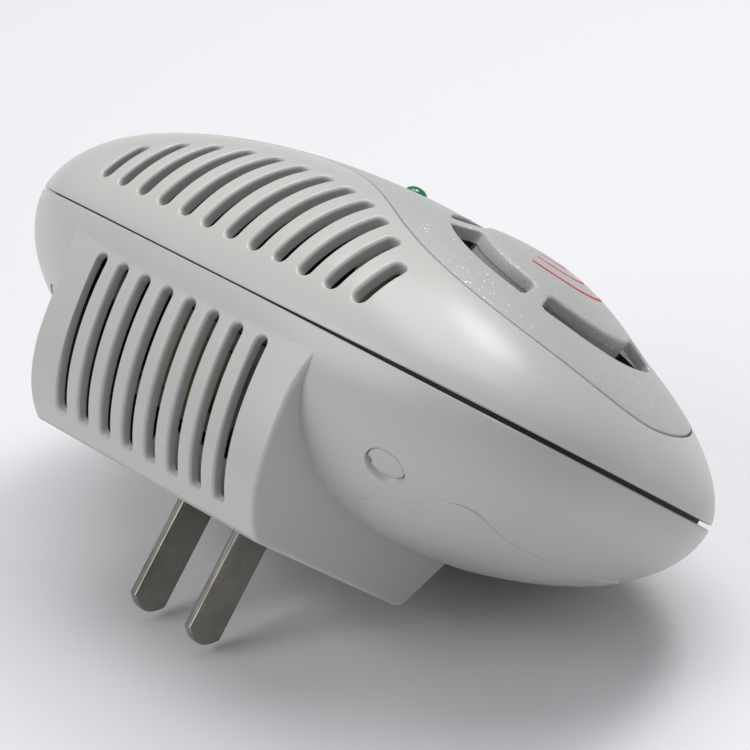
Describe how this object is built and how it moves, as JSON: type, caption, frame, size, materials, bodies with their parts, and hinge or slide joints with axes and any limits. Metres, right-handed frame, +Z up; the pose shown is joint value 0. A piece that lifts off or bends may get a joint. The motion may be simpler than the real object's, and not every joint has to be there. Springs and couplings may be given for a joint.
{
  "type": "ultrasonic pest repeller",
  "caption": "Egg-shaped plug-in ultrasonic repeller: two-part grey case with a plug block behind, vent slots along one long side, a lamp and a domed speaker grille in an inset face panel.",
  "frame": {"origin": "on the plug block's flat wall face, midway between the two plug blades and at their middle height", "axes": "+Y points out of the wall face into the wall, the way the blades point, and the face panel looks towards -Y; +Z is up, towards the vented long side; X runs along the case, with the speaker end at -X"},
  "size_m": [0.1164, 0.0711, 0.0708],
  "materials": {
    "case": "satin",
    "panel": "fine texture",
    "lens": "translucent",
    "blade": "satin nickel",
    "steel": "plated",
    "copper_lead": "tinned",
    "white_plastic": "moulded",
    "black_plastic": "moulded",
    "foam": "soft",
    "paper_cone": "pressed",
    "brass_disc": "satin",
    "board_green": "solder mask",
    "lamination": "varnished",
    "tape_yellow": "tape",
    "sleeve_blue": "sleeved",
    "film_red": "dipped",
    "glass_tube": "ceramic",
    "resistor_body": "lacquered",
    "wire_brown": "insulated",
    "wire_blue": "insulated",
    "wire_red": "insulated",
    "wire_black": "insulated"
  },
  "bodies": {
    "root": {"blade_holder": "white_plastic", "board_screw_1": "steel", "board_screw_2": "steel", "board_screw_3": "steel", "board_screw_4": "steel", "case_screw_1": "steel", "case_screw_2": "steel", "case_screw_3": "steel", "case_screw_4": "steel", "driver_chip": "black_plastic", "dropper_resistor": "resistor_body", "face_panel": "panel", "film_capacitor": "film_red", "front_cover": "case", "fuse": "glass_tube", "indicator_led": "lens", "led_lead_1": "copper_lead", "led_lead_2": "copper_lead", "led_spacer": "white_plastic", "main_board": "board_green", "mains_wire_left": "wire_brown", "mains_wire_right": "wire_blue", "piezo_disc": "brass_disc", "plug_blade_left": "blade", "plug_blade_right": "blade", "rear_cover": "case", "rectifier_diode_1": "black_plastic", "rectifier_diode_2": "black_plastic", "rectifier_diode_3": "black_plastic", "rectifier_diode_4": "black_plastic", "screw_cap_1": "case", "screw_cap_2": "case", "screw_cap_3": "case", "screw_cap_4": "case", "speaker_basket": "black_plastic", "speaker_cone": "paper_cone", "speaker_gasket": "foam", "speaker_wire_1": "wire_red", "speaker_wire_2": "wire_black", "storage_capacitor": "sleeve_blue", "transformer_core": "lamination", "transformer_winding": "tape_yellow"}
  },
  "joints": []
}
